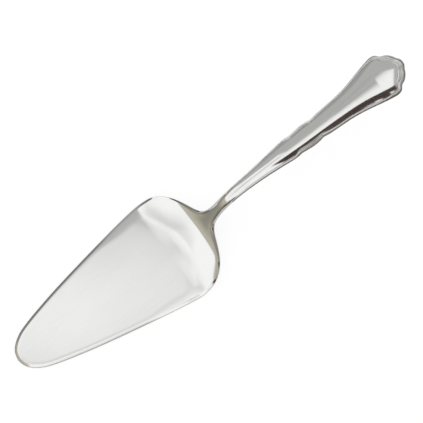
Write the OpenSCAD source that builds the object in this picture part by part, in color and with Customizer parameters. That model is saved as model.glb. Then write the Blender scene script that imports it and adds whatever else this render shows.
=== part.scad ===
// Cake server with a hollow handle. The blade lies flat on the table and the neck lifts the handle off it.
// +X runs from the tip to the handle, +Y across the blade and +Z up. The origin is on the flat underside.

/* [Blade] */
// Length of the flat part of the blade, from the tip to where the heel starts to rise
flat_len = 97.5; // [80:0.5:115]
// Greatest width of the blade
blade_w = 57; // [46:1:66]
// Thickness of the blade plate
blade_t = 1.6; // [1.2:0.1:2.4]
// Width of the bevel along the blade's top edge
bevel_w = 1.4; // [0.8:0.1:2.4]
// Thickness left at the blade's outer edge
edge_t = 0.6; // [0.4:0.1:1.1]
// Height of the heel's dished rim above its middle
dish_h = 4.2; // [0:0.2:6]

/* [Neck] */
// Radius of the bend that lifts the heel
heel_r = 26; // [18:1:32]
// Angle at which the neck rises
rise_a = 43; // [32:1:50]
// Length of the straight part of the neck
neck_len = 13; // [8:0.2:17]
// Length from the end of the heel's bend to the handle's mouth, along the centreline
shank_len = 19.6; // [15:0.2:23]
// Narrowest width of the neck
neck_w = 6.3; // [5.6:0.1:7.2]

/* [Handle] */
// Length of the handle along its curve, from its mouth to its end
handle_len = 109.2; // [95:0.2:125]
// Width of the handle at its corners
handle_w = 23.8; // [19:0.2:28]
// Height of the shell's crown above the seam at the mouth
mouth_h = 2.1; // [1.9:0.1:2.5]
// Height of the shell's crown above the seam along the handle
crown_h = 2.7; // [2.4:0.1:3.4]
// Height of the shell's crown above the seam at the handle's end
end_crown_h = 3.2; // [2.9:0.1:4]
// Thickness of the shells
wall_t = 0.6; // [0.4:0.1:0.9]
// Greatest width of the border of threads, at the handle's end
border_w = 3; // [2.4:0.1:3.6]
// Height of the border's threads where it is widest
thread_h = 0.36; // [0.2:0.02:0.5]
// Width of the border's steep outer flank
flank_w = 0.65; // [0.4:0.05:0.9]
// Radius of the tight bend over the neck
crest_r = 33; // [26:1:44]
// Angle of the tight bend over the neck
crest_a = 28.5; // [22:0.5:34]
// Radius of the slow bend along the front of the handle
back_r = 190; // [140:2:260]
// Angle of the slow bend along the front of the handle
back_a = 9; // [6:0.5:12]
// Radius of the upward sweep to the handle's end
sweep_r = 500; // [400:20:1000]

/* [Inside the handle] */
// Length of the tang behind the mouth
tang_len = 58; // [40:1:75]
// Width of the tang
tang_w = 3.2; // [2.4:0.1:3.6]
// Thickness of the tang
tang_t = 1.5; // [1:0.1:1.8]
// Depth of the notches that key the tang into the cement
notch_d = 0.5; // [0.2:0.05:0.7]
// Length of each notch
notch_len = 4; // [2:0.5:5]
// Thickness of the solder between the shells
solder_t = 0.16; // [0.1:0.02:0.3]
// Length of the cement behind the mouth
filler_len = 66; // [50:1:80]
// Gap left between a hidden piece and its neighbour
fit_gap = 0.05; // [0.02:0.01:0.1]

/* [Hidden] */

// Degrees in a radian
radian = 180 / PI;
// Place of the origin behind the tip, at the middle of the flat part
origin_x = flat_len / 2;
// Length of the heel's bend
heel_len = heel_r * rise_a / radian;
// Distance from the tip to the handle's mouth, along the centreline
mouth_s = flat_len + heel_len + shank_len;
// Half of the greatest width of the blade, the neck and the handle
blade_half = blade_w / 2;
neck_half = neck_w / 2;
handle_half = handle_w / 2;
// Half thickness of the plate and of the solder
plate_half = blade_t / 2;
solder_half = solder_t / 2;

// The centreline's runs, each with its length and the angle that it turns through, upward positive
RUNS = [
    [flat_len, 0],
    [heel_len, rise_a],
    [neck_len, 0],
    [crest_r * crest_a / radian, -crest_a],
    [back_r * back_a / radian, -back_a],
    [handle_len, handle_len / sweep_r * radian]
];

// A place [x, z, angle] moved on by a length that turns evenly through an angle
function move_on(p, len, turn) =
    turn == 0
    ? [p[0] + len * cos(p[2]), p[1] + len * sin(p[2]), p[2]]
    : let (r = len * radian / turn, a = p[2] + turn)
      [p[0] + r * (sin(a) - sin(p[2])), p[1] - r * (cos(a) - cos(p[2])), a];

// The centreline's place [x, z, angle] at a distance s from the tip
function centre(s, i = 0, p = [-origin_x, plate_half, 0]) =
    let (run = RUNS[i])
    (s <= run[0] || i == len(RUNS) - 1)
    ? move_on(p, s, run[1] * s / run[0])
    : centre(s - run[0], i + 1, move_on(p, run[0], run[1]));

// The point at distance s along, y across and h square to the centreline, lifted by a dish height
function place(s, y, h, lift = 0) =
    let (c = centre(s))
    [c[0] - h * sin(c[2]), y, c[1] + h * cos(c[2]) + lift];

// A smooth step from 0 to 1 between two values
function ease(x, from, to) =
    let (t = min(1, max(0, (x - from) / (to - from))))
    t * t * (3 - 2 * t);

// A smooth curve through listed points, with its first and last points as ends
function spline(p, i, t) =
    let (
        a = p[max(0, i - 1)],
        b = p[i],
        c = p[i + 1],
        d = p[min(len(p) - 1, i + 2)]
    )
    (2 * b + (c - a) * t + (2 * a - 5 * b + 4 * c - d) * t * t + (3 * b - a - 3 * c + d) * t * t * t) / 2;

// Points along a smooth curve, with a number of steps between each two listed points
function curve(p, steps) = [
    for (i = [0 : len(p) - 2]) for (k = [0 : steps - 1]) spline(p, i, k / steps),
    p[len(p) - 1]
];

// The blade's outline from the tip to its widest place: shares of flat_len along and blade_half across
front_shares = [
    [0.0006, 0.030], [0.0035, 0.072], [0.012, 0.160], [0.034, 0.251], [0.065, 0.330], [0.10, 0.394],
    [0.16, 0.462], [0.245, 0.540], [0.36, 0.634], [0.51, 0.740], [0.68, 0.850], [0.83, 0.941], [0.93, 0.989],
    [0.972, 0.996]
];
// The heel's outline from there to the end of its bend: shares of heel_len along and blade_half across
heel_shares = [
    [0.11, 0.972], [0.25, 0.935], [0.395, 0.868], [0.545, 0.770], [0.67, 0.655], [0.80, 0.505],
    [0.915, 0.350]
];
// The neck's outline up to the mouth: shares of shank_len along and neck_half across
neck_shares = [
    [0.02, 2.10], [0.164, 1.36], [0.235, 1.19], [0.32, 1.09], [0.46, 1.00], [0.69, 0.96], [1, 0.98]
];

blade_line = concat(
    [for (p = front_shares) [p[0] * flat_len, p[1] * blade_half]],
    [for (p = heel_shares) [flat_len + p[0] * heel_len, p[1] * blade_half]],
    [for (p = neck_shares) [flat_len + heel_len + p[0] * shank_len, p[1] * neck_half]]
);

// The handle's side from the mouth to its corner: shares of handle_len along and handle_half across
side_shares = [
    [0.04, 0.268], [0.10, 0.292], [0.16, 0.325], [0.22, 0.370], [0.28, 0.426], [0.32, 0.468], [0.347, 0.489],
    [0.372, 0.483], [0.388, 0.467], [0.415, 0.495], [0.455, 0.527], [0.49, 0.503], [0.51, 0.472],
    [0.54, 0.516], [0.60, 0.551], [0.66, 0.590], [0.72, 0.668], [0.78, 0.790], [0.84, 0.919], [0.875, 0.980],
    [0.89, 0.997]
];
// The scallops of the handle's end: shares of handle_half behind and beside the fan's middle
end_shares = [
    [0.11, 0.970], [0.21, 0.905], [0.32, 0.760], [0.48, 0.700], [0.62, 0.590], [0.745, 0.430], [0.81, 0.290],
    [0.895, 0.180], [0.93, 0.080], [0.935, 0]
];
// The fan's middle, toward which the border's rings close
fan_share = 0.898;
fan_s = mouth_s + fan_share * handle_len;
mouth_half = neck_shares[len(neck_shares) - 1][1] * neck_half;

handle_line = concat(
    [[mouth_s, mouth_half]],
    [for (p = side_shares) [mouth_s + p[0] * handle_len, p[1] * handle_half]],
    [for (p = end_shares) [fan_s + p[0] * handle_half, p[1] * handle_half]]
);

// The handle's whole outline, from the mouth round the end and back to the mouth
outline_steps = 3;
half_line = curve(handle_line, outline_steps);
half_count = len(half_line);
handle_loop = concat(
    half_line,
    [for (i = [half_count - 2 : -1 : 0]) [half_line[i][0], -half_line[i][1]]]
);
loop_last = len(handle_loop) - 1;

// Place on the handle's middle toward which an outline point's ring points move
function inward(o) = [min(o[0], fan_s), 0];

// Value at a distance along the handle, off a smooth line through the points of a table
table_steps = 4;
function read_off(table, s) = lookup((s - mouth_s) / handle_len, curve(table, table_steps));

// Width of the border of threads: shares of handle_len along and of border_w
border_shares = [
    [0, 0.28], [0.10, 0.30], [0.26, 0.38], [0.30, 0.38], [0.34, 0.33], [0.36, 0.42], [0.385, 0.65],
    [0.42, 0.68], [0.46, 0.71], [0.50, 0.65], [0.53, 0.53], [0.56, 0.42], [0.60, 0.38], [0.66, 0.42],
    [0.72, 0.37], [0.78, 0.40], [0.84, 0.47], [0.88, 0.67], [0.93, 0.87], [0.98, 1], [1, 1]
];
function border(s) = border_w * read_off(border_shares, s);

// Height of the field's crown on the handle's middle, which rises behind the mouth and again to the end
crown_full_share = 0.30;
crown_end_share = 0.60;
function crown(s) =
    mouth_h + (crown_h - mouth_h) * ease(s, mouth_s, mouth_s + crown_full_share * handle_len)
    + (end_crown_h - crown_h) * ease(s, mouth_s + crown_end_share * handle_len, fan_s);

// How far across the field's round would reach the seam: shares of handle_len along and of handle_half
reach_shares = [
    [0, 0.376], [0.10, 0.404], [0.20, 0.462], [0.30, 0.530], [0.40, 0.576], [0.50, 0.595], [0.60, 0.625],
    [0.70, 0.703], [0.78, 0.834], [0.84, 0.962], [0.90, 1.037], [1, 1.088]
];

// The field's fall toward the handle's end starts before the fan's middle and would reach the seam past it
fall_from_share = 0.5;
fall_reach_share = 1.5;

// Height of the round field above the seam at a place [s, y]
function field(q) =
    let (
        across = q[1] / (read_off(reach_shares, q[0]) * handle_half),
        along = max(0, (q[0] - fan_s) / handle_half + fall_from_share) / fall_reach_share
    )
    crown(q[0]) * (1 - across * across - along * along);

// Share of its full height that a round crown has at a share of the way in from the edge
function dome(share) = sqrt(max(0, 1 - (1 - share) * (1 - share)));

// Width of the outer flank of a border that is band wide
flank_limit_share = 0.45;
function flank(band) = min(flank_w, flank_limit_share * band);

// The same for the border at depth d: its flank bends up to near full height, then its top runs on flat
flank_h_share = 0.85;
flank_bend_share = 0.4;
function brim(d, band) =
    let (
        up = min(1, d / flank(band)),
        on = min(1, max(0, (d - flank(band)) / (band - flank(band))))
    )
    flank_h_share * up * (1 + flank_bend_share - flank_bend_share * up)
    + (1 - flank_h_share) * (1 - (1 - on) * (1 - on));

// The threads along the border's top, in proportion to its width
thread_count = 2;
function threads(d, band) =
    let (on = max(0, (d - flank(band)) / (band - flank(band))))
    thread_h * band / border_w * (1 - cos(360 * thread_count * on)) / 2;

// Height above the seam at depth d in from outline point o, on the shell's outside or, inset, on its inside.
// At the mouth it is the neck's plain round, which passes over into the bordered section behind it.
shape_share = 0.12;
function shell_height(o, d, inset) =
    let (
        t = inward(o),
        half = norm(o - t),
        band = border(o[0]),
        plain = (mouth_h - inset) * dome((d - inset) / (half - inset)),
        smooth = (field(o + (t - o) * max(d, band) / half) - inset) * brim(d - inset, band),
        pressed = smooth + (inset > 0 ? 0 : threads(min(d, band), band))
    )
    plain + (pressed - plain) * ease(t[0], mouth_s, mouth_s + shape_share * handle_len);

// A ring point of the shell at depth d in from outline point o, on the side given by turn
function shell_point(o, d, inset, turn) =
    let (
        t = inward(o),
        half = norm(o - t),
        q = d == half ? t : o + (t - o) * d / half
    )
    place(q[0], q[1], turn * (solder_half + shell_height(o, d, inset)));

// Depths of the shell's outer and inner rings: up the flank, over the threads and in over the field
flank_shares = [0, 0.3, 0.6, 1];
thread_shares = [0.25, 0.5, 0.75, 1];
field_shares = [0.3, 0.62, 1];
inner_shares = [1, 0.6, 0.25, 0.08, 0];
function outer_depths(half, band) = concat(
    [for (k = flank_shares) k * flank(band)],
    [for (k = thread_shares) flank(band) + k * (band - flank(band))],
    [for (k = field_shares) k == 1 ? half : band + k * (half - band)]
);
function inner_depths(half) = [for (k = inner_shares) k == 1 ? half : wall_t + k * (half - wall_t)];

// One row of a shell's points for an outline point: in over the outside, then back over the inside
function shell_row(o, turn) =
    let (half = norm(o - inward(o)))
    concat(
        [for (d = outer_depths(half, border(o[0]))) shell_point(o, d, 0, turn)],
        [for (d = inner_depths(half)) shell_point(o, d, wall_t, turn)]
    );

// Faces of the quad between two rows, as triangles, leaving out those that close to a line
function quad(pts, a, b, c, d) = concat(
    (pts[a] == pts[b] || pts[b] == pts[c] || pts[a] == pts[c]) ? [] : [[a, b, c]],
    (pts[a] == pts[c] || pts[c] == pts[d] || pts[a] == pts[d]) ? [] : [[a, c, d]]
);

// The same faces seen from the other side
function reversed(faces) = [for (f = faces) [for (i = [len(f) - 1 : -1 : 0]) f[i]]];

module half_shell(turn) {
    rows = [for (o = handle_loop) shell_row(o, turn)];
    n = len(rows[0]);
    outer_n = len(flank_shares) + len(thread_shares) + len(field_shares);
    pts = [for (r = rows) for (p = r) p];
    // The outside and the inside join on the middle only at the mouth's cut, so that step is left out
    walls = [
        for (j = [0 : loop_last - 1]) for (k = [0 : n - 1])
            if (k != outer_n - 1)
                let (a = j * n + k, b = j * n + (k + 1) % n)
                for (f = quad(pts, a, b, b + n, a + n)) f
    ];
    first = [for (k = [n - 1 : -1 : 0]) k];
    last = [for (k = [0 : n - 1]) loop_last * n + k];
    faces = concat(walls, [last], [first]);
    polyhedron(pts, turn < 0 ? faces : reversed(faces));
}

// A closed solid through rows of points, each row one closed section
module skin(rows) {
    n = len(rows[0]);
    m = len(rows);
    pts = [for (r = rows) for (p = r) p];
    walls = [
        for (j = [0 : m - 2]) for (k = [0 : n - 1])
            for (f = quad(pts, j * n + k, (j + 1) * n + k, (j + 1) * n + (k + 1) % n, j * n + (k + 1) % n)) f
    ];
    first = [for (k = [0 : n - 1]) k];
    last = [for (k = [n - 1 : -1 : 0]) (m - 1) * n + k];
    polyhedron(pts, concat([first], walls, [last]));
}

// Height of the heel's dished rim above its middle
dish_from_share = 0.94;
dish_full_share = 0.4;
dish_end_share = 1.16;
function dish(s) =
    let (full_s = flat_len + dish_full_share * heel_len)
    dish_h * ease(s, dish_from_share * flat_len, full_s)
    * (1 - ease(s, full_s, flat_len + dish_end_share * heel_len));

// Share of the way from flat plate to round bar
bar_from_share = 0.55;
function bar(s) = ease(s, flat_len + bar_from_share * heel_len, mouth_s);

// Half the bar's thickness at the mouth, where it meets the shells' outside
bar_half = mouth_h + solder_half;

// Places across the blade's section, as shares of the width inside the bevel
across_shares = [1, 0.8, 0.5, 0];
// Greatest share of the neck's half width that the bevel takes
bevel_limit_share = 0.33;

// Width of the bevel at distance s, which thins out along the heel
bevel_fall_share = 0.65;
bevel_thin_share = 0.4;
function bevel(s) =
    bevel_w * (1 - bevel_fall_share * ease(s, flat_len, flat_len + bevel_thin_share * heel_len));

// The section's top or bottom height at a place across
function section_top(s, y, half, slant) =
    let (
        d = min(s, (half - abs(y)) / slant),
        plate = edge_t - plate_half + (blade_t - edge_t) * min(1, d / bevel(s)),
        round_top = bar_half * dome(1 - abs(y) / half)
    )
    plate + (round_top - plate) * bar(s);
function section_under(s, y, half) =
    -plate_half + (plate_half - bar_half * dome(1 - abs(y) / half)) * bar(s);

function blade_row(o, slant) =
    let (
        s = o[0],
        half = o[1],
        band = min(bevel(s) * slant, bevel_limit_share * half),
        side = concat([half], [for (k = across_shares) k * (half - band)]),
        ys = concat(side, [for (i = [len(side) - 2 : -1 : 0]) -side[i]])
    )
    concat(
        [for (y = ys) place(s, y, section_top(s, y, half, slant), dish(s) * pow(y / half, 2))],
        [for (i = [len(ys) - 2 : -1 : 1])
            place(s, ys[i], section_under(s, ys[i], half), dish(s) * pow(ys[i] / half, 2))]
    );

module blade_body() {
    blade_steps = 3;
    line = curve(blade_line, blade_steps);
    m = len(line);
    rows = [
        for (i = [0 : m - 1])
            let (
                run = line[min(m - 1, i + 1)] - line[max(0, i - 1)],
                slant = norm(run) / run[0]
            )
            blade_row(line[i], slant)
    ];
    skin(rows);
}

// The tang's section, a flat bar on the centreline
function bar_row(s, half_w, half_t) = [
    place(s, half_w, half_t), place(s, -half_w, half_t),
    place(s, -half_w, -half_t), place(s, half_w, -half_t)
];

// How far the tang is cut in at a distance behind the mouth, with sloping ends to each notch
notch_places_shares = [0.45, 0.75];
function notch(x) = max([
    for (k = notch_places_shares)
        notch_d * min(1, max(0, (notch_len / 2 + notch_d - abs(x - k * tang_len)) / notch_d))
]);

// The tang's sections, rooted a wall's thickness inside the neck, or its socket's, a gap larger all round
tang_stations = 40;
function tang_rows(gap) =
    let (xs = concat(
        [-wall_t],
        [for (i = [0 : tang_stations]) tang_len * i / tang_stations],
        gap > 0 ? [tang_len + gap] : []
    ))
    [for (x = xs) bar_row(mouth_s + x, tang_w / 2 - notch(x) + gap, tang_t / 2 + gap)];

module blade() {
    color("silver") union() {
        blade_body();
        skin(tang_rows(0));
    }
}

module handle_front() {
    color("gainsboro") half_shell(1);
}

module handle_back() {
    color("gainsboro") half_shell(-1);
}

module seam_solder() {
    rows = [
        for (o = handle_loop)
            let (t = inward(o), q = o + (t - o) * wall_t / norm(o - t))
            [
                place(o[0], o[1], solder_half), place(q[0], q[1], solder_half),
                place(q[0], q[1], -solder_half), place(o[0], o[1], -solder_half)
            ]
    ];
    color("darkgray") skin(rows);
}

// The cement fills the front of the shells, a gap's width inside them, with a socket for the tang
module handle_filler() {
    shrink = 1 - fit_gap / (mouth_h - wall_t);
    back_s = mouth_s + filler_len;
    line = concat(
        [[mouth_s + fit_gap, mouth_half]],
        [for (p = half_line) if (p[0] > mouth_s + fit_gap && p[0] < back_s) p],
        [[back_s, lookup(back_s, half_line)]]
    );
    rows = [
        for (p = line)
            let (
                inside = [for (d = inner_depths(p[1])) [p[1] - d, solder_half + shell_height(p, d, wall_t)]],
                top = shrink * inside,
                last = len(top) - 1
            )
            concat(
                [for (i = [last : -1 : 0]) place(p[0], top[i][0], top[i][1])],
                [for (i = [1 : last]) place(p[0], -top[i][0], top[i][1])],
                [for (i = [last : -1 : 0]) place(p[0], -top[i][0], -top[i][1])],
                [for (i = [1 : last]) place(p[0], top[i][0], -top[i][1])]
            )
    ];
    color("tan") difference() {
        skin(rows);
        skin(tang_rows(fit_gap));
    }
}

blade();
handle_front();
handle_back();
seam_solder();
handle_filler();
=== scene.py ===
import math
from bisect import bisect_right

import bmesh
import bpy
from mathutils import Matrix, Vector


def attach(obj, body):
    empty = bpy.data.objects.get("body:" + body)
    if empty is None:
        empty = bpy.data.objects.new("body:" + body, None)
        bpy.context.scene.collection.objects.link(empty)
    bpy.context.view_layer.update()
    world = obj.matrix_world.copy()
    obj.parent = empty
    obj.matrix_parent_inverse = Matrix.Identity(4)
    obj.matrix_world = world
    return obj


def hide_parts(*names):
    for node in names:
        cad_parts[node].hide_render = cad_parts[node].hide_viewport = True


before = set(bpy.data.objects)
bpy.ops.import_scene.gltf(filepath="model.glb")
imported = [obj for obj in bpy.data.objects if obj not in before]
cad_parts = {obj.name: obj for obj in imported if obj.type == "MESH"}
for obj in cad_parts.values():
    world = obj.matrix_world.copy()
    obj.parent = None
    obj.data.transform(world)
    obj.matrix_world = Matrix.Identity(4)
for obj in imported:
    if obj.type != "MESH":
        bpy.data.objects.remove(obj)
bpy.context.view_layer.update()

# Camera. It looks down on the server through a long lens, with the blade's tip at the lower left of the
# picture and the handle's end at the upper right.
camera_data = bpy.data.cameras.new("camera")
camera_data.sensor_width = 36
camera_data.lens = 255.3
camera_data.clip_start = 0.05
camera_data.clip_end = 20
camera = bpy.data.objects.new("camera", camera_data)
bpy.context.scene.collection.objects.link(camera)
bpy.context.scene.camera = camera
camera.location = (-0.1743, -0.3274, 1.4435)
look_at = Vector((0.07321, 0.00379, 0.0016))
camera.rotation_mode = "QUATERNION"
camera.rotation_quaternion = (look_at - camera.location).to_track_quat("-Z", "Y")
bpy.context.scene.view_settings.view_transform = "Standard"


# Table and light. The table is a plain white sheet that keeps the server's soft shadow, in a white room.
# Only gloss shows the white cloth that hangs over it, a glowing sheet with a grey seam, a faint fold line
# and a dark slit painted in its glow, and the walls: grey at the upper left, warm beyond the tip and dark
# low down past the handle's end.
class Wire:
    """A node's output that takes part in sums: each operator adds its Math node."""

    def __init__(self, tree, socket=None):
        self.tree, self.socket = tree, socket

    def node(self, kind, settings=(), inputs=(), out=0):
        made = self.tree.nodes.new("ShaderNode" + kind)
        for name, value in dict(settings).items():
            if name == "stops":
                set_stops(made.color_ramp, value)
            else:
                setattr(made, name, value)
        for name, value in dict(inputs).items():
            if isinstance(value, Wire):
                self.tree.links.new(value.socket, made.inputs[name])
            else:
                made.inputs[name].default_value = value
        return Wire(self.tree, made.outputs[out])

    def sum(self, operation, *values):
        return self.node("Math", {"operation": operation}, dict(enumerate(values)))

    def __add__(self, other):
        return self.sum("ADD", self, other)

    def __sub__(self, other):
        return self.sum("SUBTRACT", self, other)

    def __rsub__(self, other):
        return self.sum("SUBTRACT", other, self)

    def __mul__(self, other):
        return self.sum("MULTIPLY", self, other)

    __radd__ = __add__
    __rmul__ = __mul__

    def greater(self, other):
        return self.sum("MAXIMUM", self, other)

    def lesser(self, other):
        return self.sum("MINIMUM", self, other)

    def step(self, low, high):
        """A smooth step from 0 at low to 1 at high, or falling where low is the greater."""
        inputs = {"Value": self, "From Min": low, "From Max": high}
        return self.node("MapRange", {"interpolation_type": "SMOOTHSTEP"}, inputs)

    def mix(self, off, on):
        """The colour off where this is 0 and the colour on where it is 1."""
        return self.node("Mix", {"data_type": "RGBA"}, {0: self, 6: off, 7: on}, out=2)


def set_stops(ramp, stops):
    while len(ramp.elements) < len(stops):
        ramp.elements.new(1)
    for element, (place, colour) in zip(ramp.elements, stops):
        element.position = place
        element.color = colour


def new_material(name):
    """A material with its Principled node, and a Wire to start its sums from."""
    material = bpy.data.materials.new(name)
    material.use_nodes = True
    return material, material.node_tree.nodes["Principled BSDF"], Wire(material.node_tree)


def feed(shader, name, wire):
    wire.tree.links.new(wire.socket, shader.inputs[name])


def rays(start, *names):
    """1 for the kinds of ray that are named, and 0 for the others."""
    outputs = start.node("LightPath").socket.node.outputs
    kinds = [Wire(start.tree, outputs[name]) for name in names]
    found = kinds[0]
    for kind in kinds[1:]:
        found = found.greater(kind)
    return found


def parts(start, output):
    """The three parts of the place or direction that a Texture Coordinate output gives."""
    coordinates = start.node("TexCoord").socket.node.outputs[output]
    split = start.node("SeparateXYZ", inputs={0: Wire(start.tree, coordinates)}).socket.node
    return [Wire(start.tree, split.outputs[axis]) for axis in "XYZ"]


def flat_sheet(name, low, high, z):
    """A level rectangle between two corners."""
    sheet = bmesh.new()
    bmesh.ops.create_grid(sheet, x_segments=1, y_segments=1, size=0.5)
    for vert in sheet.verts:
        x, y = (a + (b - a) * (side + 0.5) for a, b, side in zip(low, high, vert.co))
        vert.co = (x, y, z)
    mesh = bpy.data.meshes.new(name)
    sheet.to_mesh(mesh)
    sheet.free()
    made = bpy.data.objects.new(name, mesh)
    bpy.context.scene.collection.objects.link(made)
    return made


# The sheet's own grey in the room's light and its glow come to white where nothing shades it
table_grey, table_glow = 0.30, 0.72
table = flat_sheet("table", (-0.35, -0.35), (0.50, 0.35), 0)
material, shader, start = new_material("white_table")
shader.inputs["Base Color"].default_value = (table_grey, table_grey, table_grey, 1)
shader.inputs["Roughness"].default_value = 0.9
shader.inputs["Specular IOR Level"].default_value = 0
shader.inputs["Emission Color"].default_value = (1, 1, 1, 1)
seen = rays(start, "Is Camera Ray", "Is Glossy Ray", "Is Transmission Ray")
feed(shader, "Emission Strength", seen * table_glow)
table.data.materials.append(material)

# The cloth's places are in metres: east toward the handle's end, and north to the picture's upper left
cloth_h = 0.3
cloth = flat_sheet("glowing_hung_cloth", (-1.0, -0.75), (1.2, 0.38), cloth_h)
material, shader, start = new_material("glowing_cloth")
east, north = parts(start, "Object")[:2]
# White, then grey past the seam: places along the ramp and tones
cloth_stops = [
    (0.02, (0.98, 0.98, 0.98, 1)), (0.10, (0.94, 0.94, 0.94, 1)), (0.16, (0.80, 0.80, 0.79, 1)),
    (0.22, (0.55, 0.55, 0.54, 1)), (0.27, (0.42, 0.42, 0.41, 1)), (0.34, (0.47, 0.47, 0.46, 1)),
    (0.44, (0.45, 0.45, 0.44, 1)), (0.60, (0.39, 0.39, 0.38, 1)), (0.84, (0.37, 0.37, 0.36, 1)),
]
ramp_scale, ramp_start = 2, 0.2
# The seam slants south going east, runs level, and then steps south and part of the way back
slant = 0.175 - east * 1.15
seam = slant.greater(0.11) - east.step(0.088, 0.112) * 0.1 + east.step(0.124, 0.136) * 0.078
place = (north - seam) * ramp_scale + ramp_start
colour = start.node("ValToRGB", {"stops": cloth_stops}, {0: place})
# Grey past the handle's end
beyond = (east - north * 0.39).step(0.222, 0.235).greater((east + north).step(0.285, 0.305))
colour = beyond.mix(colour, (0.46, 0.46, 0.45, 1))
# The fold line, a soft grey stripe that widens toward the west and fades there
north_edge = east.step(0.08, 0.06) * 0.015 + east.step(0.01, -0.03) * 0.07 + 0.045
fold_line = north.step(-0.07, 0.02) * north.step(north_edge, 0.02)
fold_line = fold_line * east.step(0.110, 0.085) * (1 - east.step(-0.05, -0.25) * 0.8)
colour = fold_line.mix(colour, (0.70, 0.70, 0.69, 1))
# Warm toward the west, which the heel and neck show, with an edge that slants west in the south
slanted = east - (north + 0.2).lesser(0.0)
colour = slanted.step(-0.38, -0.40).mix(colour, (0.50, 0.47, 0.38, 1))
colour = slanted.step(-0.45, -0.90).mix(colour, (0.38, 0.37, 0.31, 1))
# The dark slit, narrower at its east end, and the dark south side
slit = (east + north * 0.2).step(0.030, 0.036) * east.step(0.14, 0.13) * north.step(-0.30, -0.26)
slit_end = east.step(0.125, 0.13) * east.step(0.205, 0.185) * north.step(-0.17, -0.15)
slit = slit.greater(slit_end) * north.step(-0.103, -0.108)
colour = slit.mix(colour, (0.06, 0.042, 0.038, 1))
colour = north.step(-0.42, -0.50).mix(colour, (0.05, 0.045, 0.04, 1))
# The cloth glows and only gloss sees it: its tones are painted reflections in the steel
glow = start.node("Emission", inputs={"Color": colour})
clear = start.node("BsdfTransparent")
shown = start.node("MixShader", inputs={0: rays(start, "Is Glossy Ray"), 1: clear, 2: glow})
start.tree.links.new(shown.socket, start.tree.nodes["Material Output"].inputs["Surface"])
cloth.data.materials.append(material)

world = bpy.data.worlds.new("studio")
bpy.context.scene.world = world
world.use_nodes = True
start = Wire(world.node_tree)
east, north, up = parts(start, "Generated")
# Tones by direction: overhead, low down, to the north and to the west beyond the tip
low_wall = east.step(0.75, 0.90).mix((0.42, 0.41, 0.40, 1), (0.03, 0.027, 0.025, 1))
colour = up.step(0.45, 0.30).mix((0.95, 0.95, 0.95, 1), low_wall)
north_wall = up.step(0.1, 0.4).mix((0.12, 0.12, 0.115, 1), (0.36, 0.36, 0.35, 1))
colour = (north - east * 0.3).step(0.0, 0.3).mix(colour, north_wall)
warm_wall = up.step(0.0, 0.45).mix((0.24, 0.23, 0.195, 1), (0.44, 0.41, 0.33, 1))
colour = (east + north * 0.4).step(0.0, -0.1).mix(colour, warm_wall)
walls = start.node("Background", inputs={"Color": colour})
white_room = start.node("Background", inputs={"Color": (1, 1, 1, 1)})
shown = start.node("MixShader", inputs={0: rays(start, "Is Glossy Ray"), 1: white_room, 2: walls})
world.node_tree.links.new(shown.socket, world.node_tree.nodes["World Output"].inputs["Surface"])

# Blade. One piece of steel: the flat plate with its ground edge, the dished heel, the neck and the
# tang behind it. It is cut out flat, its edge ground, the heel dished and the whole bent to its line.
MM = 0.001
# Sizes in mm, and angles in radians
flat_len = 97.5
blade_half = 28.5
plate_half = 0.8
edge_t = 0.6
bevel_w = 1.4
dish_h = 4.2
heel_r, rise = 26, math.radians(43)
neck_len = 13
shank_len = 19.6
neck_half = 3.15
heel_len = heel_r * rise
mouth_s = flat_len + heel_len + shank_len
origin_x = flat_len / 2
handle_len = 109.2
crest_r, crest = 33, math.radians(28.5)
back_r, back = 190, math.radians(9)
sweep_r = 500
# Lengths along the line and how far each turns up, from the tip to the handle's end
runs = [
    (flat_len, 0),
    (heel_len, rise),
    (neck_len, 0),
    (crest_r * crest, -crest),
    (back_r * back, -back),
    (handle_len, handle_len / sweep_r),
]


def bent(s, y, h, lift=0.0):
    """The place of a point on the bent line: s from the tip, y across, h square to it and lift, in mm."""
    x, z, angle = -origin_x, plate_half, 0.0
    for length, turn in runs:
        last = length == handle_len
        part = s if last else min(s, length)
        if turn:
            r = length / turn
            end = angle + part / r
            x += r * (math.sin(end) - math.sin(angle))
            z -= r * (math.cos(end) - math.cos(angle))
            angle = end
        else:
            x += part * math.cos(angle)
            z += part * math.sin(angle)
        s -= part
        if s <= 0 and not last:
            break
    return Vector((x - h * math.sin(angle), y, z + h * math.cos(angle) + lift)) * MM


def ease(x, low, high):
    t = min(1.0, max(0.0, (x - low) / (high - low)))
    return t * t * (3 - 2 * t)


def smooth_line(points, steps):
    """Points along a smooth curve through the listed ones."""
    line = []
    for i in range(len(points) - 1):
        a, b = points[max(0, i - 1)], points[i]
        c, d = points[i + 1], points[min(len(points) - 1, i + 2)]
        for k in range(steps):
            t = k / steps
            line.append(tuple(
                (2 * q + (r - p) * t + (2 * p - 5 * q + 4 * r - w) * t**2
                 + (3 * q - p - 3 * r + w) * t**3) / 2
                for p, q, r, w in zip(a, b, c, d)
            ))
    return line + [tuple(points[-1])]


def even_line(line, count):
    """The same line with its points set evenly along it."""
    lengths = [0.0]
    for a, b in zip(line, line[1:]):
        lengths.append(lengths[-1] + math.dist(a, b))
    even, i = [], 0
    for k in range(count + 1):
        want = lengths[-1] * k / count
        while i < len(line) - 2 and lengths[i + 1] < want:
            i += 1
        t = (want - lengths[i]) / (lengths[i + 1] - lengths[i])
        even.append(tuple(a + (b - a) * t for a, b in zip(line[i], line[i + 1])))
    return even


def eased_line(line, passes):
    """The same line with each point but the ends drawn toward its neighbours, again and again."""
    for _ in range(passes):
        between = zip(line, line[1:], line[2:])
        eased = [tuple((a + 2 * b + c) / 4 for a, b, c in zip(*three)) for three in between]
        line = [line[0]] + eased + [line[-1]]
    return line


def whole_loop(half_line):
    """A half outline from its middle end to the mouth, made whole: mouth, far end and mouth again."""
    return half_line[::-1] + [(s, -y) for s, y in half_line[1:]]


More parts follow.
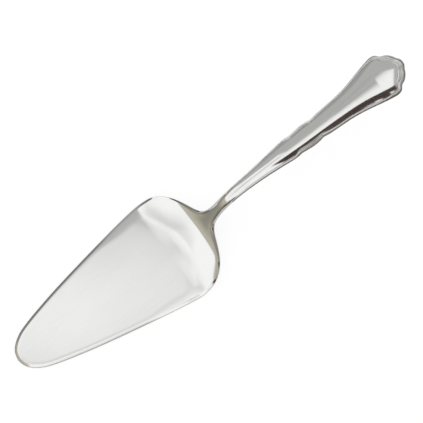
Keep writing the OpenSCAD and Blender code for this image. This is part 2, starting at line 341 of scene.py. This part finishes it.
def dome(share):
    """Height of a round dome, from 0 at its rim to 1 where share is 1."""
    return math.sqrt(max(0.0, 1 - (1 - share) ** 2))


weld_d = 0.002
sharp = 0.6


def skin(columns, rows, place, mark=None):
    """A bmesh sheet of columns by rows cells, each corner (i, k) moved to its place, doubles merged.

    Where mark is given, it is called in the same way and kept as the attribute "mark".
    """
    made = bmesh.new()
    bmesh.ops.create_grid(made, x_segments=columns, y_segments=rows, size=0.5)
    marks = made.verts.layers.float.new("mark")
    for vert in made.verts:
        i, k = round((vert.co.x + 0.5) * columns), round((vert.co.y + 0.5) * rows)
        vert.co = place(i, k)
        vert[marks] = mark(i, k) if mark else 0.0
    bmesh.ops.remove_doubles(made, verts=made.verts, dist=weld_d * MM)
    return made


def keep(made, name, material, replaced):
    """A finished bmesh as a smooth object that rides on the body and stands for a CAD node."""
    bmesh.ops.recalc_face_normals(made, faces=made.faces)
    for edge in made.edges:
        edge.smooth = edge.calc_face_angle(0) < sharp
    mesh = bpy.data.meshes.new(name)
    made.to_mesh(mesh)
    made.free()
    for face in mesh.polygons:
        face.use_smooth = True
    piece = bpy.data.objects.new(name, mesh)
    bpy.context.scene.collection.objects.link(piece)
    mesh.materials.append(material)
    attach(piece, "root")
    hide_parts(replaced)
    return piece


# Outline: shares along the flat part, the heel and the neck, and shares of the half width beside them
front_shares = [
    (0.0006, 0.0), (0.0035, 0.072), (0.012, 0.160), (0.034, 0.251), (0.065, 0.330), (0.10, 0.394),
    (0.16, 0.462), (0.245, 0.540), (0.36, 0.634), (0.51, 0.740), (0.68, 0.850), (0.83, 0.941),
    (0.93, 0.989), (0.972, 0.996),
]
heel_shares = [
    (0.11, 0.972), (0.25, 0.935), (0.395, 0.868), (0.545, 0.770), (0.67, 0.655), (0.80, 0.505),
    (0.915, 0.350),
]
neck_shares = [
    (0.02, 2.10), (0.164, 1.36), (0.235, 1.19), (0.32, 1.09), (0.46, 1.00), (0.69, 0.96), (1, 0.98),
]
blade_points = [(s * flat_len, y * blade_half) for s, y in front_shares]
blade_points += [(flat_len + s * heel_len, y * blade_half) for s, y in heel_shares]
blade_points += [(flat_len + heel_len + s * shank_len, y * neck_half) for s, y in neck_shares]
curve_steps, blade_steps, blade_passes = 12, 260, 12
blade_line = eased_line(even_line(smooth_line(blade_points, curve_steps), blade_steps), blade_passes)
blade_loop = whole_loop(blade_line)
tip_s = 9
mouth_h = 2.1
solder_half = 0.08
bar_half = mouth_h + solder_half
dish_from_s, dish_full_s, dish_end_s = 0.94 * flat_len, flat_len + 0.4 * heel_len, flat_len + 1.16 * heel_len
fold_h, fold_w = 0.10, 4.5
fold_behind, fold_slant, fold_gap = 10, 0.66, 8
bar_from_s = flat_len + 0.55 * heel_len


def dish(s):
    """How high the middle of the heel is pressed up out of the bent line."""
    return dish_h * ease(s, dish_from_s, dish_full_s) * (1 - ease(s, dish_full_s, dish_end_s))


def fold(s, y):
    """How far the top dips along the fold between the flat plate and the dished heel."""
    middle_s = flat_len + fold_behind - fold_slant * abs(y)
    return fold_h * math.exp(-(((s - middle_s) / fold_w) ** 2)) * ease(abs(y), 0, fold_gap)


def bar(s):
    """How far the flat steel has turned into the neck's round bar, from 0 to 1."""
    return ease(s, bar_from_s, mouth_s)


def across(loop, i, middle):
    """How straight in from the outline a ring runs at its point i, from 0, along it, to 1."""
    (s0, y0), (s1, y1) = loop[max(0, i - 1)], loop[min(len(loop) - 1, i + 1)]
    (s, y), (ms, my) = loop[i], middle
    run, ring = math.hypot(s1 - s0, y1 - y0), math.hypot(ms - s, my - y)
    return abs((s1 - s0) * (my - y) - (y1 - y0) * (ms - s)) / max(1e-6, run * ring)


bevel_rings, plate_rings, plate_crowding = 8, 30, 1.5
half_rings = bevel_rings + plate_rings
ground_w, ground_heel_w = 3.0, 6.5
ground_h, ground_heel_h = 0.28, 0.6
ground_from_s, ground_to_s, ground_end_s = 0.62 * flat_len, 0.86 * flat_len, 0.95 * flat_len
bevel_thinning = 0.65
# The bevel's ring band is widened where it runs slantwise, to 1 / least_straight times at most, and takes
# one part in band_parts of the way in at most
least_straight, band_parts = 0.2, 3


def ground(s, d):
    """How far the top is ground down toward its rim, beside the bevel, at depth d in from the rim."""
    near_heel = ease(s, ground_from_s, ground_to_s)
    width = ground_w + (ground_heel_w - ground_w) * near_heel
    drop = ground_h + (ground_heel_h - ground_h) * near_heel
    return drop * max(0.0, 1 - d / width) ** 2 * ease(s, flat_len, ground_end_s)


def bevel(s):
    """Width of the bevel at distance s: it thins out along the heel."""
    return bevel_w * (1 - bevel_thinning * ease(s, flat_len, dish_full_s))


def blade_ring(i, k):
    """Outline point i, the middle it closes to, and ring k's depth: its share of the way, and in mm."""
    o = blade_loop[i]
    middle = (max(o[0], tip_s), 0.0)
    half = math.dist(o, middle)
    straight = across(blade_loop, i, middle)
    ring = half_rings - k if k <= half_rings else k - half_rings - 1
    band = min(bevel(o[0]) / max(straight, least_straight), half / band_parts)
    if ring <= bevel_rings:
        d = band * ring / bevel_rings
    else:
        share = (ring - bevel_rings) / plate_rings
        d = band + (half - band) * share**plate_crowding
    return o, middle, d / half, d * straight


def blade_point(i, k):
    """Ring k of outline point i: from the top's middle out to the rim, round it and in underneath."""
    o, middle, t, e = blade_ring(i, k)
    q = (o[0] + (middle[0] - o[0]) * t, o[1] + (middle[1] - o[1]) * t)
    out = 1 - t if o[0] >= tip_s else 1.0
    if k <= half_rings:
        slope = 2 * plate_half - edge_t - ground(q[0], 0)
        plate = edge_t - plate_half + slope * min(1, e / bevel(o[0]))
        plate = plate + ground(q[0], 0) - ground(q[0], e) - fold(*q)
        h = plate + (bar_half * dome(t) - plate) * bar(q[0])
    else:
        h = -plate_half + (plate_half - bar_half * dome(t)) * bar(q[0])
    return bent(q[0], q[1], h, dish(q[0]) * out * out)


# Widths of the painted dark reflection on the blade's cut edge and on the neck's sides, its strength on the
# neck, and where the neck's part begins
painted_rim_w = 0.27
painted_rim_neck_w, painted_rim_neck = 2.1, 0.6
painted_rim_from_s = flat_len + 0.5 * heel_len


def painted_dark_rim_mark(i, k):
    """1 on the cut edge, falling off to 0 beside it, and a weaker but wider mark on the neck's sides, where
    the steel is rougher and a dark reflection is painted.
    """
    o, middle, t, e = blade_ring(i, k)
    on_neck = ease(o[0], painted_rim_from_s, flat_len + heel_len)
    width = painted_rim_w + (painted_rim_neck_w - painted_rim_w) * on_neck
    return max(0.0, min(1 - (1 - painted_rim_neck) * on_neck, 1 - e / width))


def noise(places, lumps, detail=2):
    """Noise about 0.5, with so many lumps a metre along each of the three places."""
    scaled = dict(enumerate(place * count for place, count in zip(places, lumps)))
    point = places[0].node("CombineXYZ", inputs=scaled)
    return point.node("TexNoise", inputs={"Vector": point, "Scale": 1, "Detail": detail})


# Brushed along its length and softly polished, more so on the neck. Its edge and the neck's sides are
# rougher, where the polish didn't reach, and are painted dark there: a painted dark reflection
material, shader, start = new_material("satin_steel")
shader.inputs["Metallic"].default_value = 1
places = parts(start, "Object")
polished_neck = places[0].step(0.045, 0.060)
grain = noise(places, (70, 2600, 2600))
cloud = noise(places, (45, 80, 80))
scratch = noise(places, (40, 2600, 2600), 0).step(0.76, 0.84) * cloud.step(0.45, 0.60)
rough_painted_dark_edge = start.node("Attribute", {"attribute_name": "mark"}, out=2)
colour = grain.step(0.3, 0.7).mix((0.905, 0.905, 0.895, 1), (0.935, 0.935, 0.925, 1))
colour = (scratch * 0.25).mix(colour, (0.82, 0.82, 0.81, 1))
# Painted dark reflection on the cut edge and the neck's sides
feed(shader, "Base Color", rough_painted_dark_edge.step(0.0, 0.6).mix(colour, (0.50, 0.49, 0.47, 1)))
roughness = 0.12 + grain * 0.05 + cloud * 0.06 + scratch * 0.04 + rough_painted_dark_edge * 0.10
feed(shader, "Roughness", roughness - polished_neck * 0.10)
height = grain * (1 - polished_neck * 0.7) - scratch * 0.2
bump = {"Strength": 0.5, "Distance": 0.000002, "Height": height}
feed(shader, "Normal", start.node("Bump", inputs=bump))

blade = skin(len(blade_loop) - 1, 2 * half_rings + 1, blade_point, painted_dark_rim_mark)

tang_len, tang_steps = 58, 58
tang_half_w, tang_half_t = 1.6, 0.75
notch_d, notch_len = 0.5, 4
notch_shares = (0.45, 0.75)


def notch(x):
    """How far the tang's edges are cut in at a distance behind the mouth, to key it into the cement."""
    return max(
        notch_d * min(1.0, max(0.0, (notch_len / 2 + notch_d - abs(x - share * tang_len)) / notch_d))
        for share in notch_shares
    )


def bar_place(vert, s_before, x, half_w, half_t):
    """The place on the tang's flat bar, in the direction in which a point of the section before lies."""
    middle = bent(s_before, 0, 0)
    square = (bent(s_before, 0, 1) - middle).normalized()
    y, h = vert.co.y - middle.y, (vert.co - middle).dot(square)
    stretch = min(half_w / max(abs(y), 1e-9), half_t / max(abs(h), 1e-9))
    return bent(mouth_s + x, y * stretch, h * stretch)


edges = [edge for edge in blade.edges if edge.is_boundary]
s_before = mouth_s
for k in range(-1, tang_steps + 1):
    x = max(0, k) * tang_len / tang_steps
    geometry = bmesh.ops.extrude_edge_only(blade, edges=edges)["geom"]
    for vert in (part for part in geometry if isinstance(part, bmesh.types.BMVert)):
        vert.co = bar_place(vert, s_before, x, tang_half_w - notch(x), tang_half_t)
    edges = [part for part in geometry if isinstance(part, bmesh.types.BMEdge)]
    s_before = mouth_s + x
bmesh.ops.holes_fill(blade, edges=edges)
keep(blade, "blade_and_neck", material, "blade")

# Handle front. The upper half shell, pressed from thin sheet with two threads along its border and a
# scalloped end, polished, and soldered to the back half along the seam.
handle_half = 11.9
mouth_crown = 2.1
crown_h = 2.7
end_crown_h = 3.19
wall_t = 0.6
border_w = 3.0
thread_h = 0.36
# Outline: shares of handle_len along the sides and of handle_half round the end, and of handle_half across
side_shares = [
    (0.04, 0.268), (0.10, 0.292), (0.16, 0.325), (0.22, 0.370), (0.28, 0.426), (0.32, 0.468),
    (0.347, 0.489), (0.372, 0.483), (0.388, 0.467), (0.415, 0.495), (0.455, 0.527), (0.49, 0.503),
    (0.51, 0.472), (0.54, 0.516), (0.60, 0.551), (0.66, 0.590), (0.72, 0.668), (0.78, 0.790),
    (0.84, 0.919), (0.875, 0.980), (0.89, 0.997),
]
end_shares = [
    (0.11, 0.970), (0.21, 0.905), (0.32, 0.760), (0.48, 0.700), (0.62, 0.590), (0.745, 0.430),
    (0.81, 0.290), (0.895, 0.180), (0.93, 0.080), (0.933, 0),
]
fan_s = mouth_s + 0.898 * handle_len
handle_steps, handle_passes = 300, 4
handle_points = [(mouth_s, neck_shares[-1][1] * neck_half)]
handle_points += [(mouth_s + s * handle_len, y * handle_half) for s, y in side_shares]
handle_points += [(fan_s + s * handle_half, y * handle_half) for s, y in end_shares]
handle_line = eased_line(even_line(smooth_line(handle_points, curve_steps), handle_steps), handle_passes)
handle_loop = whole_loop(handle_line[::-1])

# Widths of the border of threads: shares of handle_len along and of border_w
border_shares = [
    (0, 0.28), (0.10, 0.30), (0.26, 0.38), (0.30, 0.38), (0.34, 0.33), (0.36, 0.42), (0.385, 0.65),
    (0.42, 0.68), (0.46, 0.71), (0.50, 0.65), (0.53, 0.53), (0.56, 0.42), (0.60, 0.38), (0.66, 0.42),
    (0.72, 0.37), (0.78, 0.40), (0.84, 0.47), (0.88, 0.67), (0.93, 0.87), (0.98, 1.0), (1.0, 1.0),
]
# How far across the field's round would reach the seam: shares of handle_len along and of handle_half
reach_shares = [
    (0, 0.376), (0.10, 0.404), (0.20, 0.462), (0.30, 0.530), (0.40, 0.576), (0.50, 0.595),
    (0.60, 0.625), (0.70, 0.703), (0.78, 0.834), (0.84, 0.962), (0.90, 1.037), (1, 1.088),
]
border_line = smooth_line(border_shares, curve_steps)
reach_line = smooth_line(reach_shares, curve_steps)
# Where the crown and the height of its end are reached, and how the field falls away round the end
crown_full_s = mouth_s + 0.3 * handle_len
end_from_s = mouth_s + 0.6 * handle_len
fall_from, fall_reach = 0.5, 1.5


def read_off(line, s):
    """The share at distance s, off a line of points along the handle."""
    f = min(1.0, max(0.0, (s - mouth_s) / handle_len))
    i = min(len(line) - 2, bisect_right(line, (f, math.inf)) - 1)
    (f0, v0), (f1, v1) = line[i], line[i + 1]
    return v0 + (v1 - v0) * (f - f0) / (f1 - f0)


def field(s, y):
    """Height of the round field above the seam."""
    crown = mouth_crown + (crown_h - mouth_crown) * ease(s, mouth_s, crown_full_s)
    crown += (end_crown_h - crown_h) * ease(s, end_from_s, fan_s)
    aside = y / (read_off(reach_line, s) * handle_half)
    along = max(0.0, (s - fan_s) / handle_half + fall_from) / fall_reach
    return crown * (1 - aside**2 - along**2)


# The flank's width, the most of the border that it takes, the share of the height that it rises through,
# and how much steeper than a straight slope it starts
flank_w, flank_limit, flank_h, flank_steep = 0.65, 0.45, 0.85, 1.4


def brim(d, band):
    """Share of its full height that the border has at depth d: a steep flank and then a flat top."""
    flank = min(flank_w, flank_limit * band)
    if d < flank:
        return flank_h * d / flank * (flank_steep - (flank_steep - 1) * d / flank)
    return 1 - (1 - flank_h) * max(0.0, 1 - (d - flank) / (band - flank)) ** 2


border_rings, field_rings = 36, 16
shell_rings = border_rings + field_rings
thread_count = 2
shaped_s = mouth_s + 0.12 * handle_len
# Width and strength of the painted shade in the grooves, and how far in and how dark the painted dark
# reflection on the flank is
groove_share, groove_painted_shade = 0.10, 0.3
flank_fade, flank_painted_dark = 0.12, 0.92


def shell_sheet(turn, inset):
    """The outside of a half shell, or its inside where inset is the wall's thickness."""

    def place(i, k):
        o = handle_loop[i]
        middle = (min(o[0], fan_s), 0.0)
        half = math.dist(o, middle)
        band = read_off(border_line, o[0]) * border_w
        if k <= border_rings:
            d = inset + (band - inset) * k / border_rings if band > inset else inset
        else:
            d = max(band, inset) + (half - max(band, inset)) * (k - border_rings) / field_rings
        t = d / half
        q = (o[0] + (middle[0] - o[0]) * t, o[1] + (middle[1] - o[1]) * t)
        t = max(d, band) / half
        pressed = (field(o[0] + (middle[0] - o[0]) * t, o[1] * (1 - t)) - inset) * brim(d - inset, band)
        flank = min(flank_w, flank_limit * band)
        if flank < d < band and not inset:
            wave = (1 - math.cos(2 * math.pi * thread_count * (d - flank) / (band - flank))) / 2
            pressed += thread_h * band / border_w * wave
        plain = (mouth_crown - inset) * dome((d - inset) / (half - inset))
        shaped = ease(middle[0], mouth_s, shaped_s)
        h = solder_half + plain + (pressed - plain) * shaped
        return bent(q[0], q[1], turn * h)

    def paint_dark_flank_and_grooves(i, k):
        """How dark the steel is painted: a dark reflection painted on the flank and shade painted in the
        grooves.
        """
        if k > border_rings or inset:
            return 0.0
        band = read_off(border_line, handle_loop[i][0]) * border_w
        flank = min(flank_w, flank_limit * band)
        on = (band * k / border_rings - flank) / (band - flank)
        near = min(abs(on - n / thread_count) for n in range(1, thread_count + 1))
        shaped = ease(handle_loop[i][0], mouth_s, shaped_s)
        edge = flank_painted_dark * ease(-on, 0, flank_fade)
        return max(edge, groove_painted_shade * shaped * max(0.0, 1 - near / groove_share))

    return skin(len(handle_loop) - 1, shell_rings, place, paint_dark_flank_and_grooves)


def half_shell(turn):
    """The two sheets of a half shell joined along their rims into one closed wall."""
    shell = shell_sheet(turn, 0)
    inside = shell_sheet(turn, wall_t)
    bmesh.ops.reverse_faces(inside, faces=inside.faces)
    spare = bpy.data.meshes.new("spare")
    inside.to_mesh(spare)
    inside.free()
    shell.from_mesh(spare)
    bpy.data.meshes.remove(spare)
    bmesh.ops.bridge_loops(shell, edges=[e for e in shell.edges if e.is_boundary])
    return shell


# Polished, with faint marks of the wheel and of handling, a painted dark reflection on the flank and painted
# shade in the grooves
material, shader, start = new_material("polished_steel")
shader.inputs["Metallic"].default_value = 1
places = parts(start, "Object")
wheel = noise(places, (90, 2200, 2200))
smudge = noise(places, (110, 160, 160))
painted_dark_flank_and_grooves = start.node("Attribute", {"attribute_name": "mark"}, out=2)
colour = wheel.step(0.3, 0.7).mix((0.865, 0.865, 0.855, 1), (0.895, 0.895, 0.885, 1))
colour = smudge.step(0.55, 0.75).mix(colour, (0.85, 0.85, 0.835, 1))
# The flank's painted dark reflection and the grooves' painted shade
feed(shader, "Base Color", painted_dark_flank_and_grooves.mix(colour, (0.12, 0.11, 0.105, 1)))
feed(shader, "Roughness", 0.04 + wheel * 0.03 + smudge * 0.05 + painted_dark_flank_and_grooves * 0.15)
bump = {"Strength": 0.4, "Distance": 0.000003, "Height": wheel}
feed(shader, "Normal", start.node("Bump", inputs=bump))
polished = material
keep(half_shell(1), "handle_front_half", polished, "handle_front")

# Handle back. The lower half shell, pressed from thin sheet in the same die as the front and turned over.
# It is polished in the same way, and soldered to the front half along the seam.
keep(half_shell(-1), "handle_back_half", polished, "handle_back")

# Solder. The thin line of solder that holds the two halves together all round their rims. It was run in
# hot, drew back a little from the outside as it set, and is duller than the polished steel beside it.
solder_w = 0.6
draw_back = 0.06
# Half of the solder's section: shares of its depth in from its rim and of its half thickness
solder_shape = [(0.0, 0.6), (0.12, 0.95), (0.5, 1.0), (1.0, 1.0)]
solder_loop = solder_shape + [(share, -height) for share, height in solder_shape[::-1]]


def solder_point(i, k):
    """Point k round the section of the solder at outline point i."""
    share, height = solder_loop[k % len(solder_loop)]
    o = handle_loop[i]
    middle = (min(o[0], fan_s), 0.0)
    half = math.dist(o, middle)
    t = (draw_back + (solder_w - draw_back) * share) / half
    return bent(o[0] + (middle[0] - o[0]) * t, o[1] * (1 - t), solder_half * height)


material, shader, start = new_material("solder")
shader.inputs["Metallic"].default_value = 1
places = parts(start, "Object")
lumps = noise(places, (900, 900, 900), 3)
pits = noise(places, (3500, 3500, 3500), 0).step(0.62, 0.75)
colour = lumps.step(0.35, 0.65).mix((0.58, 0.58, 0.55, 1), (0.70, 0.70, 0.67, 1))
feed(shader, "Base Color", (pits * 0.6).mix(colour, (0.30, 0.29, 0.27, 1)))
feed(shader, "Roughness", 0.28 + lumps * 0.16 + pits * 0.2)
bump = {"Strength": 0.6, "Distance": 0.00001, "Height": lumps - pits}
feed(shader, "Normal", start.node("Bump", inputs=bump))
solder = skin(len(handle_loop) - 1, len(solder_loop), solder_point)
bmesh.ops.holes_fill(solder, edges=[edge for edge in solder.edges if edge.is_boundary])
keep(solder, "seam_solder_line", material, "seam_solder")

# Cement. It fills the front of the hollow handle round the tang and holds the blade in it. It was poured
# in wet and set hard, sandy and with a few pores, and none of it shows outside.
material, shader, start = new_material("cement")
places = parts(start, "Object")
sand = noise(places, (2400, 2400, 2400), 4)
pores = noise(places, (700, 700, 700), 0).step(0.64, 0.72)
colour = sand.step(0.3, 0.7).mix((0.54, 0.45, 0.32, 1), (0.70, 0.60, 0.46, 1))
feed(shader, "Base Color", pores.mix(colour, (0.34, 0.28, 0.20, 1)))
feed(shader, "Roughness", 0.82 + sand * 0.16)
bump = {"Strength": 0.6, "Distance": 0.00006, "Height": sand - pores}
feed(shader, "Normal", start.node("Bump", inputs=bump))
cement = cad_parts["handle_filler"]
for use in cement.material_slots:
    use.material = material
